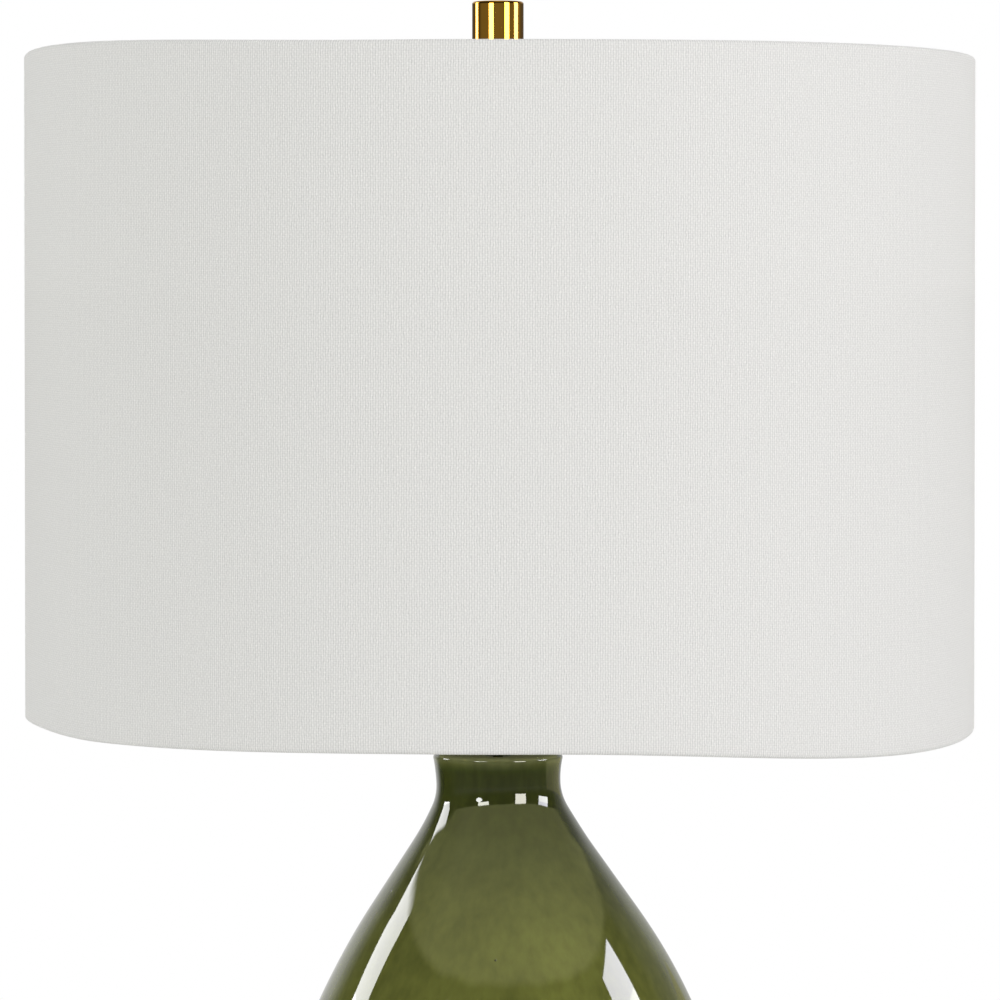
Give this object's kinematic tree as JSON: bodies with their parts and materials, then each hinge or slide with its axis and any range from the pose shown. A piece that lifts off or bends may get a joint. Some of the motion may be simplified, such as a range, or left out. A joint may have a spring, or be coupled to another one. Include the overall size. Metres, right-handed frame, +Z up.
{
  "type": "table lamp",
  "caption": "Table lamp with a glazed ceramic gourd body on a round brass plinth, a wire harp, a linen drum shade and a cylindrical brass finial.",
  "frame": {"origin": "centre of the lamp's underside, on its vertical axis", "axes": "+Z up, -Y towards the front of the picture, +X to its right"},
  "size_m": [0.406, 0.406, 0.635],
  "materials": {
    "black_felt": "pressed wool felt",
    "fibreboard": "grey-brown pressed board",
    "polished_brass": "antique brass plating, finely brushed round and lacquered",
    "satin_brass": "satin brass plating",
    "black_plastic": "moulded",
    "zinc_steel": "zinc plated",
    "black_rubber": "matt",
    "green_glaze": "thick transparent olive glaze, glossy",
    "moulded_block": "dark moulded phenolic",
    "thread_aluminium": "rolled sheet",
    "frosted_glass": "inside-frosted white",
    "black_glass_insulator": "fused black glass",
    "white_painted_wire": "white powder coat",
    "white_styrene": "smooth white sheet",
    "white_linen": "plain-woven linen laminated to the sheet"
  },
  "bodies": {
    "lamp": {"base_felt": "black_felt", "base_cover": "fibreboard", "brass_base": "polished_brass", "cord_grommet": "black_plastic", "base_washer": "zinc_steel", "base_nut": "zinc_steel", "lamp_pipe": "zinc_steel", "foot_gasket": "black_rubber", "ceramic_body": "green_glaze", "neck_gasket": "black_rubber", "neck_collar": "polished_brass", "harp_saddle": "satin_brass", "saddle_nut": "satin_brass", "socket_cap": "satin_brass", "cap_screw": "zinc_steel", "socket_block": "moulded_block", "terminal_screws": "satin_brass", "centre_contact": "satin_brass", "screw_shell": "thread_aluminium", "socket_sleeve": "fibreboard", "socket_shell": "satin_brass"},
    "switch": {"switch_spindle": "satin_brass", "switch_knob": "black_plastic"},
    "bulb": {"bulb_glass": "frosted_glass", "bulb_screw": "thread_aluminium", "bulb_insulator": "black_glass_insulator", "bulb_contact": "zinc_steel"},
    "harp": {"harp_wire": "satin_brass"},
    "left_sleeve": {"harp_ferrule_left": "satin_brass"},
    "right_sleeve": {"harp_ferrule_right": "satin_brass"},
    "stud": {"harp_stud": "satin_brass"},
    "shade": {"spider_hub": "white_painted_wire", "spider_arms": "white_painted_wire", "shade_top_ring": "white_painted_wire", "shade_bottom_ring": "white_painted_wire", "shade_liner": "white_styrene", "shade_fabric": "white_linen"},
    "finial": {"finial": "polished_brass"}
  },
  "joints": [
    {"name": "switch_turn", "type": "hinge", "parent": "lamp", "child": "switch", "pos_m": [0, -0.0175, 0.3567], "axis": [0, -1, 0], "continuous": true},
    {"name": "bulb_unscrew", "type": "slide", "parent": "lamp", "child": "bulb", "axis": [0, 0, 1], "range_m": [0, 0.045]},
    {"name": "harp_lift", "type": "slide", "parent": "lamp", "child": "harp", "axis": [0, 0, 1], "range_m": [0, 0.04]},
    {"name": "left_sleeve_slide", "type": "slide", "parent": "harp", "child": "left_sleeve", "axis": [0, 0, 1], "range_m": [0, 0.0165]},
    {"name": "right_sleeve_slide", "type": "slide", "parent": "harp", "child": "right_sleeve", "axis": [0, 0, 1], "range_m": [0, 0.0165]},
    {"name": "shade_turn", "type": "hinge", "parent": "harp", "child": "stud", "pos_m": [0, 0, 0.6], "axis": [0, 0, 1], "continuous": true},
    {"name": "shade_lift", "type": "slide", "parent": "stud", "child": "shade", "axis": [0, 0, 1], "range_m": [0, 0.05]},
    {"name": "finial_unscrew", "type": "slide", "parent": "shade", "child": "finial", "axis": [0, 0, 1], "range_m": [0, 0.025]}
  ]
}
